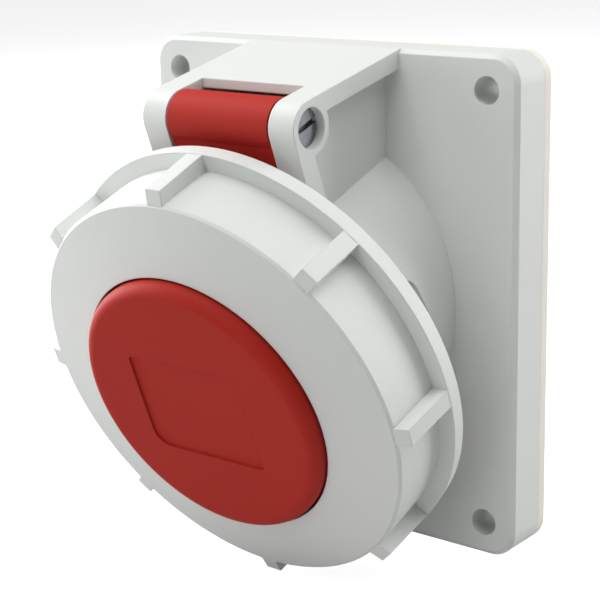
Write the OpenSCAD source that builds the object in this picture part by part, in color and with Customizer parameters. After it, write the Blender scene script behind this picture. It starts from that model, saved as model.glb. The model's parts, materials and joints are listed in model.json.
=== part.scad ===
// Industrial panel socket: pin-and-sleeve type, 32 A, five contacts, with an inclined collar
// and a watertight hinged lid that carries a bayonet ring.
//
// Millimetres. Z is up and the face looks along -Y. The plane Y = 0 is the panel that the
// flange is fixed to, and X = 0, Z = 0 is the middle of the flange.
// The collar, the contacts, the lid and the ring share one inclined axis. It starts on the
// flange face and points forwards and down. Their modules are drawn along +Z and put on
// that axis by on_axis(), where the distance from the flange face is called "reach".

/* [Flange] */
// Width of the flange
flange_w = 100; // [94:1:116]
// Height of the flange
flange_h = 110; // [108:1:124]
// Depth of the flange from its face to its back edge
flange_depth = 10.8; // [9:0.2:14]
// Thickness of the flange's front wall
flange_wall = 3.2; // [2.4:0.2:4]
// Thickness of the rim round the hollow back
flange_rim = 3; // [2.2:0.2:4]
// Radius of the flange's corners
flange_corner_r = 6; // [4:0.5:9]
// Chamfer round the flange face
face_chamfer = 1; // [0.4:0.1:1.6]
// Thickness of the stiffening ribs in the hollow back
back_rib_t = 2.4; // [1.6:0.2:3.2]

/* [Panel fixing] */
// Distance between the fixing holes across the flange
hole_pitch_x = 85; // [80:1:88]
// Distance between the fixing holes up the flange
hole_pitch_z = 95; // [90:1:97]
// Diameter of the fixing holes
hole_d = 6; // [4.5:0.1:6.4]
// Wall round each fixing hole
hole_boss_wall = 2.5; // [1.8:0.1:3]
// Thickness of the flange gasket
gasket_t = 2.4; // [1.6:0.2:3.2]
// Gap between the collar and the sides of the opening in the flange gasket
gasket_side_gap = 3; // [2:0.5:4]
// Gap between the collar's radius and the top and the foot of the opening in the flange gasket
gasket_end_gap = 8; // [6:0.5:9]
// Corner radius of the opening in the flange gasket
gasket_open_r = 14; // [10:1:20]

/* [Collar] */
// Angle between the collar's axis and the horizontal
tilt = 20; // [16:0.5:22]
// How far the axis starts below the middle of the flange
axis_drop = 1; // [0:0.2:2]
// Wall of the collar
collar_wall = 3.5; // [3.2:0.1:3.8]
// Room between the lid's skirt and the ramps on the collar
ramp_gap = 1.7; // [1.4:0.1:2]
// Reach of the collar's front edge
collar_reach = 36.8; // [35.8:0.1:37]
// How far the collar runs back behind the flange face
collar_back = 14; // [13.6:0.2:17]
// Thickness of the inner shoulder that the insert is screwed to
shoulder_t = 6; // [5:0.2:7]
// Width of the keyway in the collar
keyway_w = 8; // [6:0.5:10]
// Depth of the keyway
keyway_depth = 1.5; // [1:0.1:1.8]
// Chamfer on the collar's front edge
collar_chamfer = 0.5; // [0.3:0.1:0.8]

/* [Bayonet] */
// Reach of the back wall of the lug recess
bay_reach = 8.3; // [6:0.1:12]
// Half the height of the lug recess
bay_half_h = 14.4; // [13:0.2:15.4]
// Depth of the lug recess
bay_depth = 1.5; // [1:0.1:1.8]
// Corner radius of the lug recess
bay_corner_r = 3; // [2:0.5:4]
// Angle at which each ramp on the collar starts, from the horizontal
ramp_start = -24; // [-26:1:-22]
// Angle that each ramp spans
ramp_span = 28; // [24:1:29]
// Height of the ramps above the collar
ramp_h = 3.2; // [2.6:0.1:3.3]
// Thickness of the ramps along the axis
ramp_t = 3.2; // [2.4:0.1:3.6]
// Angle that the stop at the end of each ramp spans
stop_span = 3; // [2:0.5:4]
// Middle of each lug when the ring is unlocked
lug_angle = 16; // [16:0.5:18]
// Angle that each lug spans
lug_span = 14; // [10:1:14]
// Thickness of the lugs along the axis
lug_t = 4; // [3:0.1:4.4]
// Gap between the lugs and the collar
lug_gap = 1.2; // [1:0.1:1.5]
// How far the lugs sit in front of the ring's rear edge
lug_inset = 0.9; // [0.6:0.1:1.2]
// Play between the lugs and the ramps along the axis
lug_play = 1.5; // [1.2:0.1:1.8]

/* [Bayonet ring] */
// Radius of the ring's wall
ring_r = 46.7; // [46.4:0.1:47.6]
// Thickness of the ring's wall
ring_wall = 3.3; // [2.6:0.1:3.5]
// Reach of the ring's front edge
ring_reach = 41.9; // [41.6:0.1:43]
// How much the ring's face rises towards its opening
ring_crown = 3.4; // [3:0.1:3.8]
// Thickness of the ring's front wall
ring_front_t = 3; // [2.6:0.1:3.2]
// Height of the ring's rear rim above its wall
rim_h = 3.7; // [3:0.1:4.4]
// Draft on the radius of the rear rim
rim_draft = 0.4; // [0.2:0.1:0.6]
// Reach of the ring's rear edge
rim_reach = 23.4; // [23:0.1:24]
// Width of the rear rim along the axis
rim_w = 3.8; // [3:0.1:5]
// Number of grip ribs
grip_ribs = 8; // [4:1:12]
// Width of a grip rib
grip_rib_w = 4; // [3:0.2:6]
// How much lower a grip rib is at its front
grip_rib_draft = 0.6; // [0.2:0.1:1]
// Chamfer round the front edge of the ring
ring_chamfer = 0.5; // [0.2:0.1:0.8]

/* [Lid] */
// Width of the ring's face round the lid's raised round front
ring_face_w = 15.3; // [14.8:0.1:16]
// Reach of the lid's front
disc_reach = 48.5; // [48:0.1:50]
// Radius of the rounded edge of the lid's front
disc_round = 2.7; // [1.5:0.1:2.9]
// Wall of the lid's round front
disc_wall = 3; // [2.4:0.1:3.4]
// Wall of the lid's skirt
skirt_wall = 2.7; // [2.2:0.1:2.8]
// Width of the label recess
label_w = 30.5; // [24:0.5:34]
// Height of the label recess
label_h = 23.3; // [18:0.5:26]
// Depth of the label recess
label_depth = 0.5; // [0.3:0.1:0.8]
// Radius of the two wide corners of the label recess
label_wide_r = 4; // [2:0.5:6]
// Radius of the two tight corners of the label recess
label_tight_r = 1; // [0.5:0.1:2]
// Thickness of the lid gasket
lid_gasket_t = 2.2; // [2:0.1:2.3]
// Width of the lid gasket
lid_gasket_w = 5.6; // [5:0.1:6]
// Depth of the groove that holds the lid gasket
gasket_groove = 1.2; // [1:0.1:1.4]

/* [Hinge] */
// Slope of the bracket's top
shelf_slope = 12.5; // [8:0.5:14]
// Distance of the pin in front of the flange face
pin_reach = 30.3; // [30:0.1:31]
// Radius of the bracket's ears round the pin
ear_r = 5.8; // [5.7:0.1:6]
// Half the width of the bracket
bracket_half_w = 20.5; // [19.6:0.1:23]
// Thickness of each ear
ear_t = 6.5; // [6:0.1:6.8]
// Thickness of the bracket's side walls
web_t = 3; // [2:0.1:3.4]
// Thickness of the bracket's top between the side walls
shelf_t = 2; // [1.6:0.1:2.6]
// Thickness of the bracket's top at its sides
band_t = 4; // [3:0.1:4.6]
// Thickness of the rib down the front of each side wall
ear_rib_t = 4.8; // [3.6:0.1:5.4]
// Distance of the window's back edge in front of the flange face
window_reach = 23.9; // [22:0.1:24]
// Radius of the hinge pin
pin_r = 2.5; // [2.2:0.1:2.7]
// Radius of the pin's head
pin_head_r = 4.25; // [3.8:0.05:4.3]
// Thickness of the pin's head
pin_head_t = 2; // [1.6:0.1:2.4]
// Depth of the pin's head below the ear
pin_sink = 2; // [1.4:0.1:2.2]
// Width of the slot in the pin's head
pin_slot_w = 1.2; // [0.8:0.1:1.6]
// Angle of the slot above the horizontal
pin_slot_angle = 19; // [0:1:90]
// Thickness of the lid's hinge arm
arm_t = 4.2; // [3.4:0.1:4.6]
// How far the arm's front lies behind the front of its barrel
arm_inset = 0.6; // [0.4:0.1:1.2]
// Wire diameter of the lid spring
spring_wire = 0.9; // [0.7:0.05:1]
// Turns of the lid spring
spring_turns = 7; // [4:1:8]
// Distance between the turns of the lid spring
spring_pitch = 1.15; // [1.1:0.05:1.2]

/* [Contacts] */
// Width of the space between the collar and the contact insert
plug_gap = 5.5; // [5.2:0.1:5.8]
// How far the insert's face sits behind the collar's edge
carrier_sink = 1.3; // [0.8:0.1:2.5]
// Thickness of the insert's mounting flange
carrier_flange_t = 4; // [3:0.2:5]
// Thickness of the insert's seal
carrier_seal_t = 1.5; // [1:0.1:2]
// Length of the rear terminal part
terminal_len = 19.5; // [18:0.5:24]
// How much smaller the radius of the rear terminal part is
terminal_step = 0.7; // [0.4:0.1:1]
// Distance of the contacts' axes from the edge of the insert
contact_inset = 9; // [8.8:0.1:9.4]
// Bore radius of the phase and neutral sleeves
phase_bore_r = 3.05; // [2.9:0.05:3.15]
// Bore radius of the earth sleeve
earth_bore_r = 4.05; // [3.9:0.05:4.15]
// Wall of the sleeves
sleeve_wall = 1.15; // [1:0.05:1.3]
// Depth of the sleeves' bores
sleeve_bore_len = 34; // [28:1:35]
// Length of the slit in each sleeve
slit_len = 18; // [14:1:24]
// Radius of the hole that takes the wire
wire_hole_r = 2.9; // [2.6:0.1:3]
// Radius of the terminal screws
terminal_screw_r = 1.6; // [1.4:0.1:1.8]
// Radius of the insert's fixing screws
fixing_screw_r = 1.25; // [1:0.05:1.4]
// Radius of the centre screw
centre_screw_r = 1.5; // [1.3:0.1:1.8]

/* [Clearances] */
// Running clearance between the pin and the lid's barrel
running_gap = 0.05; // [0.03:0.01:0.08]
// Gap between parts that are put together and stay still
seat_gap = 0.03; // [0.02:0.01:0.05]
// Gap between the lid's barrel and each ear
hinge_side_gap = 0.4; // [0.3:0.05:0.6]
// Gap between the ring and the lid along the axis
ring_float = 0.4; // [0.3:0.05:0.6]
// Gap between the ring's wall and the lid's skirt
skirt_gap = 0.8; // [0.6:0.1:1]
// Gap between the ring's opening and the lid's round front
disc_gap = 0.5; // [0.4:0.1:0.6]
// Gap between the lid's hinge arm and the collar
arm_gap = 2; // [1.6:0.1:2.4]
// Gap between the lid gasket and the collar's edge
seal_gap = 0.2; // [0.15:0.05:0.3]
// Gap round the insert in the collar
insert_gap = 0.3; // [0.2:0.05:0.4]

/* [Hidden] */
$fn = 96;

// A small overlap, so that joined or cut solids never share a face by chance
eps = 0.05;
// A length that reaches past everything it cuts
beyond = 80;

face_y = -gasket_t - flange_depth;
axis_z = -axis_drop;

// Radii from the ring inwards: ring, skirt, ramps, collar, insert
ring_bore_r = ring_r - ring_wall;
skirt_r = ring_bore_r - skirt_gap;
skirt_bore_r = skirt_r - skirt_wall;
collar_r = skirt_bore_r - ramp_gap - ramp_h;
collar_bore_r = collar_r - collar_wall;
bay_floor_r = collar_r - bay_depth;
carrier_r = collar_bore_r - plug_gap;
terminal_r = carrier_r - terminal_step;
contact_pitch_r = carrier_r - contact_inset;

// Opening in the flange gasket
gasket_open_w = 2 * (collar_r + gasket_side_gap);
gasket_open_h = 2 * (collar_r + gasket_end_gap);

// Hinge, in the bracket's side view: (distance in front of the face, height)
pin_z = shelf_z(pin_reach) - ear_r / cos(shelf_slope);
ear_half_gap = bracket_half_w - ear_t;
web_half_w = ear_half_gap + web_t;
barrel_half_w = ear_half_gap - hinge_side_gap;

// Hinge, in the inclined frame: reach along the axis and distance above it
pin_axial = pin_reach * cos(tilt) - (pin_z - axis_z) * sin(tilt);
pin_radial = pin_reach * sin(tilt) + (pin_z - axis_z) * cos(tilt);

// Lid spring: its mean radius, its chamber in the barrel, and its legs at the back of the pin
spring_r = pin_r + spring_wire;
spring_room = spring_turns * spring_pitch + 2 * spring_wire;
spring_leg_angle = 90;
spring_leg_hole_len = 2;
spring_leg_len = 1.6;
spring_leg_gap = 0.1;

// Ring
rim_r = ring_r + rim_h;
opening_r = ring_r - ring_face_w;
disc_r = opening_r - disc_gap;
crown_slope = ring_crown / ring_face_w;
rim_front = rim_reach + rim_w;
lug_back = rim_reach + lug_inset;
lug_front = lug_back + lug_t;
lug_inner_r = collar_r + lug_gap;
ramp_back = lug_front + lug_play;

// Lid
skirt_back = lug_front + ring_float;
gasket_seat = collar_reach + seal_gap + lid_gasket_t;
plate_back = gasket_seat - gasket_groove;
gasket_inner_r = (collar_bore_r + collar_r - lid_gasket_w) / 2;
arm_bore_r = collar_r + arm_gap;
cavity_r = disc_r - disc_wall;

// Insert, as reach along the axis
carrier_front = collar_reach - carrier_sink;
seal_back = -shoulder_t - carrier_seal_t;
carrier_back = seal_back - carrier_flange_t;
terminal_back = carrier_back - terminal_len;
fixing_pitch_r = (carrier_r + collar_bore_r) / 2;
fixing_angles = [30, 150, 270];
fixing_head_r = 2.3;
fixing_head_t = 2;

// Contacts: angle of each sleeve round the axis, with the earth at the keyway
earth_angle = -90;
contact_step = 72;
front_wall = 3;
terminal_wall = 3;
spring_ring_t = 0.6;
spring_ring_w = 4;
spring_ring_sink = 0.3;
spring_ring_gap = 1.2;
slit_w = 0.9;
screw_from_back = 10;
screw_reach = terminal_back + screw_from_back;
wire_hole_len = 14;
pilot_len = 9;
centre_head_r = 2 * centre_screw_r + 0.2;
centre_head_t = 2;
clamp_plate_t = 0.8;
clamp_plate_w = 2.8;
clamp_plate_len = 6;
clamp_plate_top = 2.45;
terminal_head_r = 2.3;
terminal_head_t = 1.4;

light_grey = "#D2D4D1";
signal_red = "#A52019";
seal_white = "#E6E2D8";
insert_grey = "#3A3D40";
brass = "#C9A54A";
steel = "#8E9398";
rubber = "#2B2B2C";

// Height of the bracket's top at a distance in front of the flange face
function shelf_z(reach) = flange_h / 2 - tan(shelf_slope) * (reach + face_chamfer);

// Reach of the ring's outer face at a distance from the axis
function crown_reach(r) = ring_reach + crown_slope * (ring_r - r);

// Radii that follow from a sleeve's bore
function sleeve_r(bore_r) = bore_r + sleeve_wall;
function chamber_r(bore_r) = sleeve_r(bore_r) + spring_ring_t - spring_ring_sink + 0.3;
function block_r(bore_r) = chamber_r(bore_r) + 0.8;

// ---------------------------------------------------------------- frames

// Puts what is drawn along +Z on the inclined axis
module on_axis() {
    translate([0, face_y, axis_z]) rotate([90 + tilt, 0, 0]) children();
}

// Puts what is drawn along +Z on the panel's normal, with its base on the plane at y
module on_face(y) {
    translate([0, y, 0]) rotate([90, 0, 0]) children();
}

// Extrudes a side view, drawn as (distance in front of the face, height), along X
module side_slab(x, w) {
    translate([x, face_y, 0]) rotate([90, 0, -90]) linear_extrude(height = w, center = true) children();
}

// Repeats a piece at each fixing hole
module at_holes() {
    for (x = [-1, 1], z = [-1, 1])
        translate([x * hole_pitch_x / 2, z * hole_pitch_z / 2, 0]) children();
}

// Repeats a piece on the two opposite sides of the axis
module on_both_sides() {
    for (a = [0, 180]) rotate([0, 0, a]) children();
}

// A ring between two radii and two reaches
module tube(inner, outer, from, to) {
    translate([0, 0, from]) difference() {
        cylinder(r = outer, h = to - from);
        translate([0, 0, -1]) cylinder(r = inner, h = to - from + 2);
    }
}

// Part of a ring between two angles
module arc_block(inner, outer, from, to, start, span) {
    rotate([0, 0, start]) rotate_extrude(angle = span)
        translate([inner, from]) square([outer - inner, to - from]);
}

// ---------------------------------------------------------------- housing

// Rectangle with round corners
module round_rect(w, h, r) {
    square([w - 2 * r, h], center = true);
    square([w, h - 2 * r], center = true);
    for (x = [-1, 1], y = [-1, 1]) translate([x * (w / 2 - r), y * (h / 2 - r)]) circle(r);
}

// Plate with round corners and a chamfer round its upper face
module chamfered_plate(w, h, r, t, c) {
    module section(half) {
        polygon([[-half, 0], [half, 0], [half, t - c], [half - c, t], [c - half, t], [-half, t - c]]);
    }
    rotate([90, 0, 0]) linear_extrude(height = h - 2 * r, center = true) section(w / 2);
    rotate([90, 0, 90]) linear_extrude(height = w - 2 * r, center = true) section(h / 2);
    for (x = [-1, 1], y = [-1, 1]) translate([x * (w / 2 - r), y * (h / 2 - r), 0]) {
        cylinder(r = r, h = t - c);
        translate([0, 0, t - c]) cylinder(r1 = r, r2 = r - c, h = c);
    }
}

// Flange with a hollow back, bosses round the fixing holes and stiffening ribs
module flange() {
    hollow = flange_depth - flange_wall;
    on_face(-gasket_t) {
        difference() {
            chamfered_plate(flange_w, flange_h, flange_corner_r, flange_depth, face_chamfer);
            translate([0, 0, -eps]) linear_extrude(height = hollow + eps)
                round_rect(flange_w - 2 * flange_rim, flange_h - 2 * flange_rim, flange_corner_r - flange_rim + 1);
        }
        at_holes() cylinder(d = hole_d + 2 * hole_boss_wall, h = hollow + eps);
        for (side = [-1, 1]) {
            translate([side * (flange_w / 2 - flange_rim) / 2 - back_rib_t / 2, -flange_h / 2 + eps, 0])
                cube([back_rib_t, flange_h - 2 * eps, hollow + eps]);
            translate([-flange_w / 2 + eps, side * flange_h / 4 - back_rib_t / 2, 0])
                cube([flange_w - 2 * eps, back_rib_t, hollow + eps]);
        }
    }
}

// Side view of the bracket: sloping top, round ears and a front edge square to the axis
module bracket_outline() {
    foot_reach = pin_reach + ear_r * cos(tilt) - (pin_radial - collar_bore_r / 2) * sin(tilt);
    foot_z = pin_z - ear_r * sin(tilt) - (pin_radial - collar_bore_r / 2) * cos(tilt);
    translate([pin_reach, pin_z]) circle(ear_r);
    polygon([
        [-face_chamfer, flange_h / 2],
        [pin_reach + ear_r * sin(shelf_slope), pin_z + ear_r * cos(shelf_slope)],
        [pin_reach, pin_z],
        [pin_reach + ear_r * cos(tilt), pin_z - ear_r * sin(tilt)],
        [foot_reach, foot_z],
        [-face_chamfer, axis_z]
    ]);
}

// Side view of the space under the bracket's top, down to the axis
module under_shelf(t) {
    drop = t / cos(shelf_slope);
    polygon([
        [0, shelf_z(0) - drop],
        [beyond, shelf_z(beyond) - drop],
        [beyond, axis_z - beyond],
        [0, axis_z - beyond]
    ]);
}

// Side view of the pocket in each side wall, with the boss and the front rib left standing
module web_pocket() {
    edge_reach = pin_reach + (ear_r - ear_rib_t) * cos(tilt);
    edge_z = pin_z - (ear_r - ear_rib_t) * sin(tilt);
    difference() {
        intersection() {
            under_shelf(band_t);
            polygon([
                [0, flange_h],
                [edge_reach + beyond * sin(tilt), edge_z + beyond * cos(tilt)],
                [edge_reach - beyond * sin(tilt), edge_z - beyond * cos(tilt)],
                [0, -flange_h]
            ]);
        }
        translate([pin_reach, pin_z]) circle(ear_r);
    }
}

// Places what is drawn along +X at the hinge pin
module at_pin() {
    translate([0, face_y - pin_reach, pin_z]) rotate([0, 90, 0]) children();
}

// Hinge bracket: hollow, open at its front, with a window behind the lid's barrel
module bracket() {
    pocket_w = bracket_half_w - web_half_w;
    head_seat = bracket_half_w - pin_sink - pin_head_t;
    difference() {
        side_slab(0, 2 * bracket_half_w) bracket_outline();
        side_slab(0, 2 * ear_half_gap) under_shelf(shelf_t);
        for (side = [-1, 1])
            side_slab(side * (web_half_w + pocket_w / 2 + eps / 2), pocket_w + eps) web_pocket();
        translate([-ear_half_gap, face_y - window_reach - beyond, pin_z - ear_r])
            cube([2 * ear_half_gap, beyond, 4 * ear_r]);
        at_pin() translate([0, 0, -bracket_half_w + 2])
            cylinder(r = pin_r + seat_gap, h = 2 * bracket_half_w);
        at_pin() translate([0, 0, head_seat]) cylinder(r = pin_head_r + seat_gap, h = beyond);
        at_pin() spring_leg_hole(-ear_half_gap - spring_leg_hole_len);
    }
}

// Recess in the side of the collar for a lug of the plug's ring
module lug_bay() {
    len = ramp_back - 0.4 - bay_reach;
    difference() {
        translate([0, 0, bay_reach + len / 2]) rotate([0, 90, 0])
            linear_extrude(height = collar_r + 1) round_rect(len, 2 * bay_half_h, bay_corner_r);
        cylinder(r = bay_floor_r, h = collar_reach);
    }
}

// Ramp on the collar that a lug turns behind, with the stop at its end
module ramp() {
    root = collar_r - 1;
    top = collar_r + ramp_h;
    arc_block(root, top, ramp_back, ramp_back + ramp_t, ramp_start - stop_span, ramp_span + stop_span);
    arc_block(root, top, lug_back, ramp_back + ramp_t / 2, ramp_start - stop_span, stop_span);
}

// Collar's outside, before it is bored
module collar_body() {
    difference() {
        union() {
            translate([0, 0, -collar_back]) cylinder(r = collar_r, h = collar_back + collar_reach - collar_chamfer);
            translate([0, 0, collar_reach - collar_chamfer])
                cylinder(r1 = collar_r, r2 = collar_r - collar_chamfer, h = collar_chamfer);
        }
        on_both_sides() lug_bay();
    }
    on_both_sides() ramp();
}

module housing() {
    color(light_grey) {
        difference() {
            union() {
                flange();
                bracket();
                on_axis() collar_body();
            }
            on_face(0) at_holes() cylinder(d = hole_d, h = beyond);
            on_axis() translate([0, 0, -beyond]) cylinder(r = collar_bore_r, h = 2 * beyond);
            on_axis() translate([-keyway_w / 2, -collar_bore_r - keyway_depth, 0])
                cube([keyway_w, 2 * keyway_depth, beyond]);
        }
        on_axis() shoulder();
    }
}

// Inner shoulder with the pilot holes for the insert's screws
module shoulder() {
    difference() {
        tube(carrier_r + insert_gap, collar_bore_r + collar_wall / 4, -shoulder_t, 0);
        at_fixings(-shoulder_t - 1) cylinder(r = fixing_screw_r + seat_gap, h = shoulder_t);
    }
}

module flange_gasket() {
    color(seal_white) on_face(0) difference() {
        linear_extrude(height = gasket_t) round_rect(flange_w, flange_h, flange_corner_r);
        translate([0, 0, -1]) linear_extrude(height = gasket_t + 2)
            round_rect(gasket_open_w, gasket_open_h, gasket_open_r);
        translate([0, 0, -1]) at_holes() cylinder(d = hole_d, h = gasket_t + 2);
    }
}

// ---------------------------------------------------------------- insert

// Repeats a piece at each of the insert's fixing screws
module at_fixings(reach) {
    for (a = fixing_angles) rotate([0, 0, a]) translate([fixing_pitch_r, 0, reach]) children();
}

// Places a piece at one contact, with +X pointing away from the axis
module at_contact(index) {
    rotate([0, 0, earth_angle + index * contact_step]) translate([contact_pitch_r, 0, 0]) children();
}

// Bore of each sleeve: the earth sleeve, number 0, is the larger one
function bore_of(index) = index == 0 ? earth_bore_r : phase_bore_r;

module carrier_seal() {
    color(rubber) on_axis() difference() {
        tube(carrier_r + insert_gap, collar_bore_r - insert_gap, seal_back, -shoulder_t);
        at_fixings(seal_back - 1) cylinder(r = fixing_screw_r + 0.3, h = beyond);
    }
}

module contact_carrier() {
    color(insert_grey) on_axis() difference() {
        union() {
            translate([0, 0, carrier_back]) cylinder(r = carrier_r, h = carrier_front - carrier_back);
            translate([0, 0, carrier_back]) cylinder(r = collar_bore_r - insert_gap, h = carrier_flange_t);
        }
        for (i = [0:4]) at_contact(i) {
            translate([0, 0, carrier_back - 1])
                cylinder(r = chamber_r(bore_of(i)), h = carrier_front - front_wall - carrier_back + 1);
            cylinder(r = bore_of(i) + 0.3, h = beyond);
        }
        at_fixings(carrier_back - 1) cylinder(r = fixing_screw_r + 0.3, h = carrier_flange_t + 2);
        translate([0, 0, carrier_back - 1]) cylinder(r = centre_screw_r + seat_gap, h = pilot_len + 1);
    }
}

module terminal_carrier() {
    color(insert_grey) on_axis() difference() {
        translate([0, 0, terminal_back]) cylinder(r = terminal_r, h = terminal_len);
        for (i = [0:4]) at_contact(i) {
            translate([0, 0, terminal_back + terminal_wall])
                cylinder(r = block_r(bore_of(i)) + seat_gap, h = terminal_len);
            translate([0, 0, terminal_back - 1]) cylinder(r = wire_hole_r + 1, h = terminal_len);
            translate([0, 0, screw_reach]) rotate([0, 90, 0]) cylinder(r = terminal_head_r + 0.3, h = beyond);
        }
        translate([0, 0, terminal_back - 1]) cylinder(r = centre_screw_r + 0.3, h = beyond);
        translate([0, 0, terminal_back - 1]) cylinder(r = centre_head_r + 0.4, h = terminal_wall + 1);
    }
}

// Round-head screw along +Z, with its head's underside at 0 and a straight slot
module slotted_screw(r, len, head_r, head_t) {
    cylinder(r = r, h = len);
    difference() {
        translate([0, 0, -head_t]) cylinder(r = head_r, h = head_t);
        translate([-head_r - 1, -head_r / 6, -head_t - 1]) cube([2 * head_r + 2, head_r / 3, 1 + head_t / 2]);
    }
}

module carrier_screws() {
    color(steel) on_axis() at_fixings(carrier_back)
        slotted_screw(fixing_screw_r, carrier_flange_t + carrier_seal_t + shoulder_t - 2, fixing_head_r, fixing_head_t);
}

module centre_screw() {
    color(steel) on_axis() translate([0, 0, terminal_back + terminal_wall])
        slotted_screw(centre_screw_r, terminal_len - terminal_wall + pilot_len - 1, centre_head_r, centre_head_t);
}

// Contact sleeve: slit tube at the front, solid terminal block at the back
module sleeve(index) {
    bore_r = bore_of(index);
    tip = carrier_front - front_wall - 0.7;
    block_back = terminal_back + terminal_wall;
    ring_back = tip - 2 - spring_ring_w;
    color(brass) on_axis() at_contact(index) difference() {
        union() {
            translate([0, 0, carrier_back - 1]) cylinder(r = sleeve_r(bore_r), h = tip - carrier_back + 1);
            translate([0, 0, block_back]) cylinder(r = block_r(bore_r), h = carrier_back - block_back);
        }
        translate([0, 0, tip - sleeve_bore_len]) cylinder(r = bore_r, h = beyond);
        translate([-slit_w / 2, -beyond / 2, tip - slit_len]) cube([slit_w, beyond, beyond]);
        translate([0, 0, ring_back]) tube(sleeve_r(bore_r) - spring_ring_sink, beyond, 0, spring_ring_w);
        translate([0, 0, block_back - 1]) cylinder(r = wire_hole_r, h = wire_hole_len + 1);
        translate([0, 0, screw_reach]) rotate([0, 90, 0]) cylinder(r = terminal_screw_r + seat_gap, h = beyond);
    }
}

module sleeve_l1() { sleeve(1); }
module sleeve_l2() { sleeve(2); }
module sleeve_l3() { sleeve(3); }
module sleeve_n() { sleeve(4); }
module sleeve_pe() { sleeve(0); }

module sleeve_springs() {
    tip = carrier_front - front_wall - 0.7;
    ring_back = tip - 2 - spring_ring_w;
    color(steel) on_axis() for (i = [0:4]) at_contact(i) {
        inner = sleeve_r(bore_of(i)) - spring_ring_sink;
        difference() {
            tube(inner, inner + spring_ring_t, ring_back, ring_back + spring_ring_w);
            translate([0, -spring_ring_gap / 2, ring_back - 1]) cube([beyond, spring_ring_gap, spring_ring_w + 2]);
        }
    }
}

module terminal_screws() {
    color(steel) on_axis() for (i = [0:4]) at_contact(i) {
        head_at = block_r(bore_of(i)) + seat_gap;
        translate([head_at, 0, screw_reach]) rotate([0, -90, 0])
            slotted_screw(terminal_screw_r, head_at - clamp_plate_top, terminal_head_r, terminal_head_t);
    }
}

module clamp_plates() {
    color(steel) on_axis() for (i = [0:4]) at_contact(i)
        translate([clamp_plate_top - clamp_plate_t, -clamp_plate_w / 2, screw_reach - clamp_plate_len / 2])
            cube([clamp_plate_t, clamp_plate_w, clamp_plate_len]);
}

// ---------------------------------------------------------------- lid and ring

// Half section of the lid, drawn as (distance from the axis, reach)
module lid_section() {
    slab_front = crown_reach(opening_r) - ring_front_t - ring_float;
    slab_edge = crown_reach(skirt_r) - ring_front_t - ring_float;
    translate([disc_r - disc_round, disc_reach - disc_round]) intersection() {
        circle(disc_round);
        square(disc_round + 1);
    }
    polygon([
        [0, disc_reach - disc_wall],
        [0, disc_reach],
        [disc_r - disc_round, disc_reach],
        [disc_r - disc_round, disc_reach - disc_round],
        [disc_r, disc_reach - disc_round],
        [disc_r, slab_front],
        [skirt_r, slab_edge],
        [skirt_r, skirt_back],
        [skirt_bore_r, skirt_back],
        [skirt_bore_r, plate_back],
        [gasket_inner_r + lid_gasket_w, plate_back],
        [gasket_inner_r + lid_gasket_w, gasket_seat],
        [gasket_inner_r, gasket_seat],
        [gasket_inner_r, plate_back],
        [cavity_r, plate_back],
        [cavity_r, disc_reach - disc_wall]
    ]);
}

// Outline of the label recess: two opposite corners are tight and two are wide
module label_outline() {
    module corner(x, y, r) {
        translate([x * (label_w / 2 - r), y * (label_h / 2 - r)]) circle(r);
    }
    half_w = label_w / 2;
    half_h = label_h / 2;
    corner(-1, 1, label_tight_r);
    corner(1, -1, label_tight_r);
    corner(1, 1, label_wide_r);
    corner(-1, -1, label_wide_r);
    polygon([
        [-half_w + label_tight_r, half_h],
        [half_w - label_wide_r, half_h],
        [half_w - label_wide_r, half_h - label_wide_r],
        [half_w, half_h - label_wide_r],
        [half_w, -half_h + label_tight_r],
        [half_w - label_tight_r, -half_h + label_tight_r],
        [half_w - label_tight_r, -half_h],
        [-half_w + label_wide_r, -half_h],
        [-half_w + label_wide_r, -half_h + label_wide_r],
        [-half_w, -half_h + label_wide_r],
        [-half_w, half_h - label_tight_r],
        [-half_w + label_tight_r, half_h - label_tight_r]
    ]);
}

// Barrel of the hinge, with the arm that runs down behind the ring and forwards to the skirt
module lid_arm() {
    arm_front = pin_axial + ear_r - arm_inset;
    arm_back = arm_front - arm_t;
    translate([-barrel_half_w, pin_radial, pin_axial]) rotate([0, 90, 0])
        cylinder(r = ear_r, h = 2 * barrel_half_w);
    difference() {
        translate([-barrel_half_w, 0, arm_back]) cube([2 * barrel_half_w, pin_radial, arm_t]);
        translate([0, 0, arm_back - 1]) cylinder(r = arm_bore_r, h = arm_t + 2);
    }
    intersection() {
        tube(arm_bore_r, skirt_r, arm_back, plate_back + eps);
        translate([-barrel_half_w, 0, 0]) cube([2 * barrel_half_w, skirt_r + 1, disc_reach]);
    }
}

module lid() {
    color(signal_red) difference() {
        union() {
            on_axis() rotate_extrude() lid_section();
            on_axis() lid_arm();
        }
        on_axis() translate([0, 0, disc_reach - label_depth]) linear_extrude(height = 1) label_outline();
        at_pin() translate([0, 0, -beyond / 2]) cylinder(r = pin_r + running_gap, h = beyond);
        at_pin() translate([0, 0, -barrel_half_w - 1]) cylinder(r = spring_r + spring_wire, h = spring_room + 1);
        at_pin() spring_leg_hole(spring_room - barrel_half_w - eps);
    }
}

module lid_gasket() {
    color(rubber) on_axis()
        tube(gasket_inner_r, gasket_inner_r + lid_gasket_w, gasket_seat - lid_gasket_t, gasket_seat);
}

// Half section of the ring, drawn as (distance from the axis, reach)
module ring_section() {
    edge_r = ring_r - ring_chamfer;
    polygon([
        [opening_r, crown_reach(opening_r)],
        [edge_r, crown_reach(edge_r)],
        [ring_r, ring_reach - ring_chamfer],
        [ring_r, rim_front],
        [rim_r, rim_front],
        [rim_r - rim_draft, rim_reach],
        [ring_bore_r, rim_reach],
        [ring_bore_r, crown_reach(ring_bore_r) - ring_front_t],
        [opening_r, crown_reach(opening_r) - ring_front_t]
    ]);
}

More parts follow.
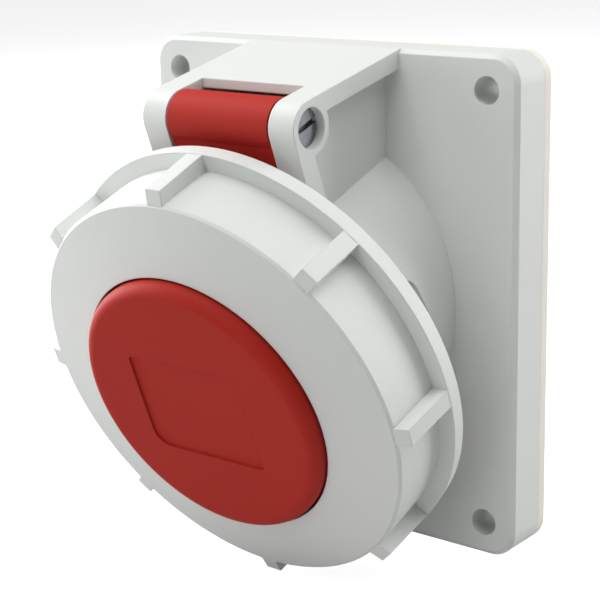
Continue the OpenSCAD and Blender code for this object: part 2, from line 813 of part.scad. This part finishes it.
// Grip rib from the rear rim to the ring's front edge
module grip_rib() {
    root_r = ring_r - 1;
    top_r = rim_r - grip_rib_draft;
    front = ring_reach - 0.2;
    rotate([90, 0, 0]) linear_extrude(height = grip_rib_w, center = true) polygon([
        [root_r, rim_front - 1],
        [rim_r - 0.1, rim_front - 1],
        [rim_r - 0.1, rim_front],
        [top_r, front - crown_slope * (top_r - ring_r)],
        [ring_r, front],
        [root_r, front]
    ]);
}

module bayonet_ring() {
    color(light_grey) on_axis() {
        rotate_extrude() ring_section();
        for (i = [0:grip_ribs - 1]) rotate([0, 0, i * 360 / grip_ribs]) grip_rib();
        on_both_sides() arc_block(lug_inner_r, ring_bore_r + 1, lug_back, lug_front, lug_angle - lug_span / 2, lug_span);
    }
}

// ---------------------------------------------------------------- hinge pin and spring

// Hole for a leg of the spring
module spring_leg_hole(x) {
    rotate([0, 0, spring_leg_angle]) translate([spring_r, 0, x])
        cylinder(r = spring_wire / 2 + spring_leg_gap, h = spring_leg_hole_len + eps);
}

module hinge_pin() {
    head_seat = bracket_half_w - pin_sink - pin_head_t;
    blind_end = -bracket_half_w + 2;
    color(steel) at_pin() difference() {
        union() {
            translate([0, 0, blind_end]) cylinder(r = pin_r, h = head_seat - blind_end);
            translate([0, 0, head_seat]) cylinder(r = pin_head_r, h = pin_head_t);
        }
        translate([0, 0, head_seat + pin_head_t - 1.2]) rotate([0, 0, 90 + pin_slot_angle])
            translate([-beyond / 2, -pin_slot_w / 2, 0]) cube([beyond, pin_slot_w, beyond]);
    }
}

// Points of a coil round the Z axis, and of the ring of points round its wire
function coil_point(turn) = [spring_r * cos(360 * turn), spring_r * sin(360 * turn), spring_pitch * turn];
function wire_point(turn, a) = coil_point(turn)
    + spring_wire / 2 * (cos(a) * [cos(360 * turn), sin(360 * turn), 0] + sin(a) * [0, 0, 1]);

module lid_spring() {
    steps = 20;
    sides = 8;
    last = spring_turns * steps;
    start = -ear_half_gap + hinge_side_gap + spring_wire;
    points = [for (i = [0:last], k = [0:sides - 1]) wire_point(i / steps, k * 360 / sides)];
    walls = [for (i = [0:last - 1], k = [0:sides - 1])
        [i * sides + k, i * sides + (k + 1) % sides, (i + 1) * sides + (k + 1) % sides, (i + 1) * sides + k]];
    caps = [[for (k = [sides - 1:-1:0]) k], [for (k = [0:sides - 1]) last * sides + k]];
    end = start + spring_turns * spring_pitch;
    color(steel) at_pin() rotate([0, 0, spring_leg_angle]) {
        translate([0, 0, start]) polyhedron(points, concat(walls, caps));
        spring_leg(-ear_half_gap - spring_leg_len, start);
        spring_leg(end, spring_room - barrel_half_w + spring_leg_len);
    }
}

// Straight leg of the spring between two places along the pin
module spring_leg(from, to) {
    translate([spring_r, 0, from]) cylinder(d = spring_wire, h = to - from, $fn = 24);
}

// ---------------------------------------------------------------- all parts

housing();
flange_gasket();
carrier_seal();
contact_carrier();
terminal_carrier();
carrier_screws();
centre_screw();
sleeve_l1();
sleeve_l2();
sleeve_l3();
sleeve_n();
sleeve_pe();
sleeve_springs();
terminal_screws();
clamp_plates();
lid();
lid_gasket();
bayonet_ring();
hinge_pin();
lid_spring();
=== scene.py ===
"""Industrial panel socket: finishes, softly moulded edges, floor, studio light and camera."""
import bpy
import json
from math import cos, radians, sin
from mathutils import Matrix, Vector


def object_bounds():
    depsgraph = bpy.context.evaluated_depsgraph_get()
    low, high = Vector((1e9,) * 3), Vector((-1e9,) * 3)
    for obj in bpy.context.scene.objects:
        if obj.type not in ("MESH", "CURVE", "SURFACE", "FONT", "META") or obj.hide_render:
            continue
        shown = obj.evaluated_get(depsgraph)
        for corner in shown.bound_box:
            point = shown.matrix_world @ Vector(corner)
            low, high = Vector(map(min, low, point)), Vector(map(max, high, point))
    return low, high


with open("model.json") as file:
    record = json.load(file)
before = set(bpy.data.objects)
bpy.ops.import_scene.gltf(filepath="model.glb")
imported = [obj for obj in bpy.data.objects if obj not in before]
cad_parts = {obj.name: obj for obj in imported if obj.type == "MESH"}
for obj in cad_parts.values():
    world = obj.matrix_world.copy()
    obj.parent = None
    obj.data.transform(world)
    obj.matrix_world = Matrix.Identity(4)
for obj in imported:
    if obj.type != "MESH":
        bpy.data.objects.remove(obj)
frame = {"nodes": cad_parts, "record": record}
cad_low, cad_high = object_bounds()

MM = 0.001

# Small radius that a mould leaves along every edge, and how finely it is shaded
EDGE_RADIUS = 0.35 * MM
EDGE_SAMPLES = 6

# Faint flow marks in moulded plastic
FLOW_MARK = 22 * MM

# Spark-eroded grain and turning marks, drawn coarser than the real ones so that they show
SPARK_GRAIN = 0.35 * MM
TOOL_MARK = 0.5 * MM
TOOL_MARK_DEPTH = 0.004 * MM

FLOOR_SIZE = 12.0
FLOOR_GAP = 0.5 * MM
FLOOR_LIFT = 0.86

# Share of the white surroundings that shows in glossy surfaces
WORLD_IN_GLOSS = 0.25

LAMP_DISTANCE = 0.9
LAMP_SIZE = 0.5
# Name, azimuth and elevation in degrees, power in watts
LAMPS = (
    ("left_low_lamp", -90, 5, 9.6),
    ("left_lamp", -90, 35, 3.8),
    ("key_lamp", -45, 65, 2.1),
    ("front_left_lamp", -45, 5, 0.7),
    ("front_lamp", 0, 35, 1.6),
    ("front_low_lamp", 0, 5, 0.8),
    ("top_lamp", 0, 65, 0.9),
    ("right_top_lamp", 90, 65, 2.4),
    ("rear_right_lamp", 135, 5, 3.3),
    ("rear_lamp", 135, 35, 2.0),
    ("rear_top_lamp", 135, 65, 1.0),
)
LIT_POINT = Vector((0, -40 * MM, 0))

# Angles in degrees; the focal length is a share of the image's width
CAMERA_AZIMUTH = 38.767
CAMERA_ELEVATION = 14.963
CAMERA_ROLL = -1.355
CAMERA_DISTANCE = 360.33 * MM
CAMERA_FOCAL = 1608.05 / 600
CAMERA_TARGET = Vector((0, -22.97 * MM, -0.99 * MM))
SENSOR_WIDTH = 36


# ---------------------------------------------------------------- colours and nodes

def linear(hex_colour):
    """An sRGB hex colour as the linear RGBA that Blender's sockets take."""
    out = []
    for i in (1, 3, 5):
        c = int(hex_colour[i:i + 2], 16) / 255
        out.append(c / 12.92 if c <= 0.04045 else ((c + 0.055) / 1.055) ** 2.4)
    return (*out, 1.0)


def add_node(owner, kind, settings=None, links=None):
    """Adds a shader node; settings and links name a socket by its name or number."""
    tree = owner.node_tree
    node = tree.nodes.new(kind)
    for name, value in (settings or {}).items():
        if isinstance(name, int) or name in node.inputs:
            node.inputs[name].default_value = value
        else:
            setattr(node, name, value)
    for name, source in (links or {}).items():
        tree.links.new(source, node.inputs[name])
    return node


def empty_material(name):
    material = bpy.data.materials.new(name)
    material.use_nodes = True
    material.node_tree.nodes.clear()
    return material


def principled(name, **settings):
    """A material with a Principled shader on its output: (material, shader)."""
    material = empty_material(name)
    shader = add_node(material, "ShaderNodeBsdfPrincipled", settings)
    add_node(material, "ShaderNodeOutputMaterial", links={"Surface": shader.outputs["BSDF"]})
    return material, shader


# ---------------------------------------------------------------- materials

def moulded(name, colour, shade, grain_depth, roughness, **settings):
    """Moulded in a spark-eroded tool: satin skin, very fine grain, faint flow marks, soft edges."""
    material, shader = principled(name, Roughness=roughness, **settings)
    links = material.node_tree.links
    where = add_node(material, "ShaderNodeTexCoord").outputs["Object"]
    flow = add_node(
        material, "ShaderNodeTexNoise", {"Scale": 1 / FLOW_MARK, "Detail": 3.0}, {"Vector": where})
    tint = add_node(
        material, "ShaderNodeMix", {"data_type": "RGBA", 6: linear(colour), 7: linear(shade)},
        {"Factor": flow.outputs["Fac"]})
    links.new(tint.outputs[2], shader.inputs["Base Color"])
    grain = add_node(
        material, "ShaderNodeTexNoise", {"Scale": 1 / SPARK_GRAIN, "Detail": 2.0}, {"Vector": where})
    gloss = add_node(
        material, "ShaderNodeMapRange", {"To Min": roughness - 0.04, "To Max": roughness + 0.05},
        {"Value": grain.outputs["Fac"]})
    links.new(gloss.outputs["Result"], shader.inputs["Roughness"])
    edge = add_node(material, "ShaderNodeBevel", {"samples": EDGE_SAMPLES, "Radius": EDGE_RADIUS})
    bump = add_node(
        material, "ShaderNodeBump", {"Distance": grain_depth, "Strength": 1.0},
        {"Height": grain.outputs["Fac"], "Normal": edge.outputs["Normal"]})
    links.new(bump.outputs["Normal"], shader.inputs["Normal"])
    return material


def turned_metal(name, colour, roughness):
    """Turned metal: fine marks of the tool break up the highlights."""
    material, shader = principled(
        name, **{"Base Color": linear(colour), "Metallic": 1.0, "Roughness": roughness})
    links = material.node_tree.links
    where = add_node(material, "ShaderNodeTexCoord").outputs["Object"]
    marks = add_node(
        material, "ShaderNodeTexNoise", {"Scale": 1 / TOOL_MARK, "Detail": 4.0}, {"Vector": where})
    gloss = add_node(
        material, "ShaderNodeMapRange", {"To Min": roughness - 0.08, "To Max": roughness + 0.12},
        {"Value": marks.outputs["Fac"]})
    links.new(gloss.outputs["Result"], shader.inputs["Roughness"])
    bump = add_node(
        material, "ShaderNodeBump", {"Distance": TOOL_MARK_DEPTH}, {"Height": marks.outputs["Fac"]})
    links.new(bump.outputs["Normal"], shader.inputs["Normal"])
    return material


finishes = {
    # Light grey polyamide, moulded: a pale satin that shades softly and hardly mirrors
    "grey_plastic": moulded(
        "light_grey_moulded_polyamide", "#DDE0DD", "#D8DBD8", 0.004 * MM, 0.46, IOR=1.53),
    # Signal red polyamide, moulded: deep even red, dull enough that highlights stay wide and weak
    "red_plastic": moulded(
        "signal_red_moulded_polyamide", "#B02417", "#A91F14", 0.004 * MM, 0.62, IOR=1.53,
        **{"Specular IOR Level": 0.2}),
    # Glass-filled polyamide, moulded: dark grey with a slightly rougher, drier skin
    "insert_plastic": moulded(
        "dark_grey_glass_filled_polyamide", "#3F4245", "#36393C", 0.008 * MM, 0.5, IOR=1.53),
    # Foam rubber, cut from sheet: warm white and matt
    "pale_rubber": moulded(
        "off_white_foam_rubber", "#F2EEE4", "#EAE5DA", 0.012 * MM, 0.72, IOR=1.5),
    # Nitrile rubber, moulded: near black and matt
    "black_rubber": moulded(
        "black_nitrile_rubber", "#1E1E1F", "#19191A", 0.012 * MM, 0.72, IOR=1.5),
    # Brass, turned: warm yellow with a fairly sharp shine
    "sleeve_brass": turned_metal("turned_brass", "#C8A552", 0.32),
    # Steel, zinc plated: pale and slightly cloudy
    "zinc_steel": turned_metal("zinc_plated_steel", "#AEB2B5", 0.38),
    # Spring wire, drawn: even pale grey
    "spring_steel": turned_metal("stainless_spring_steel", "#A6A9AB", 0.34),
    # Stainless steel, turned: darker grey with soft highlights
    "pin_steel": turned_metal("turned_stainless_steel", "#8F9396", 0.36),
}

slot_of = {part["node"]: part["material_slot"] for part in frame["record"]["subparts"]}
for name, cad in frame["nodes"].items():
    cad.data.materials.clear()
    cad.data.materials.append(finishes[slot_of[name]])


# ---------------------------------------------------------------- floor, light and camera

def deselect():
    if bpy.context.object and bpy.context.object.mode != "OBJECT":
        bpy.ops.object.mode_set(mode="OBJECT")
    bpy.ops.object.select_all(action="DESELECT")


def pale_floor():
    """White floor: nearly white of itself for the camera, with the object's soft shadows."""
    deselect()
    bpy.ops.mesh.primitive_plane_add(size=FLOOR_SIZE, location=(0, 0, cad_low.z - FLOOR_GAP))
    floor = bpy.context.object
    floor.name = "floor"
    material = empty_material("white_paper_floor")
    paper = add_node(material, "ShaderNodeBsdfDiffuse", {"Color": linear("#C8C8C8")})
    seen = add_node(material, "ShaderNodeLightPath").outputs["Is Camera Ray"]
    lift = add_node(
        material, "ShaderNodeMath", {"operation": "MULTIPLY", 1: FLOOR_LIFT}, {0: seen})
    glow = add_node(
        material, "ShaderNodeEmission", {"Color": (1, 1, 1, 1)}, {"Strength": lift.outputs[0]})
    both = add_node(
        material, "ShaderNodeAddShader", links={0: paper.outputs[0], 1: glow.outputs[0]})
    add_node(material, "ShaderNodeOutputMaterial", links={"Surface": both.outputs[0]})
    floor.data.materials.append(material)


def studio_world():
    """White surroundings for the camera, which show more weakly in glossy surfaces."""
    world = bpy.data.worlds.new("studio")
    bpy.context.scene.world = world
    world.use_nodes = True
    world.node_tree.nodes.clear()
    path = add_node(world, "ShaderNodeLightPath")
    in_gloss = add_node(
        world, "ShaderNodeMath", {"operation": "MULTIPLY", 1: WORLD_IN_GLOSS},
        {0: path.outputs["Is Glossy Ray"]})
    level = add_node(
        world, "ShaderNodeMath", {"operation": "MAXIMUM"},
        {0: in_gloss.outputs[0], 1: path.outputs["Is Camera Ray"]})
    white = add_node(
        world, "ShaderNodeBackground", {"Color": (1, 1, 1, 1)}, {"Strength": level.outputs[0]})
    add_node(world, "ShaderNodeOutputWorld", links={"Surface": white.outputs[0]})


def direction(azimuth, elevation):
    """Unit vector from the object towards azimuth and elevation; 0, 0 is its front."""
    a, e = radians(azimuth), radians(elevation)
    return Vector((sin(a) * cos(e), -cos(a) * cos(e), sin(e)))


def softbox(name, azimuth, elevation, power):
    """Square area lamp aimed at the object."""
    away = direction(azimuth, elevation)
    lamp = bpy.data.lights.new(name, "AREA")
    lamp.shape = "SQUARE"
    lamp.size = LAMP_SIZE
    lamp.energy = power
    holder = bpy.data.objects.new(name, lamp)
    bpy.context.scene.collection.objects.link(holder)
    holder.location = LIT_POINT + away * LAMP_DISTANCE
    holder.rotation_mode = "QUATERNION"
    holder.rotation_quaternion = away.to_track_quat("Z", "Y")


def studio_camera():
    back = direction(CAMERA_AZIMUTH, CAMERA_ELEVATION)
    data = bpy.data.cameras.new("camera")
    data.sensor_width = SENSOR_WIDTH
    data.lens = CAMERA_FOCAL * data.sensor_width
    data.clip_start = 0.01
    data.clip_end = 50
    camera = bpy.data.objects.new("camera", data)
    bpy.context.scene.collection.objects.link(camera)
    camera.matrix_world = (
        Matrix.Translation(CAMERA_TARGET + back * CAMERA_DISTANCE)
        @ back.to_track_quat("Z", "Y").to_matrix().to_4x4()
        @ Matrix.Rotation(radians(CAMERA_ROLL), 4, "Z")
    )
    bpy.context.scene.camera = camera


pale_floor()
studio_world()
for lamp in LAMPS:
    softbox(*lamp)
studio_camera()
bpy.context.scene.view_settings.view_transform = "Standard"
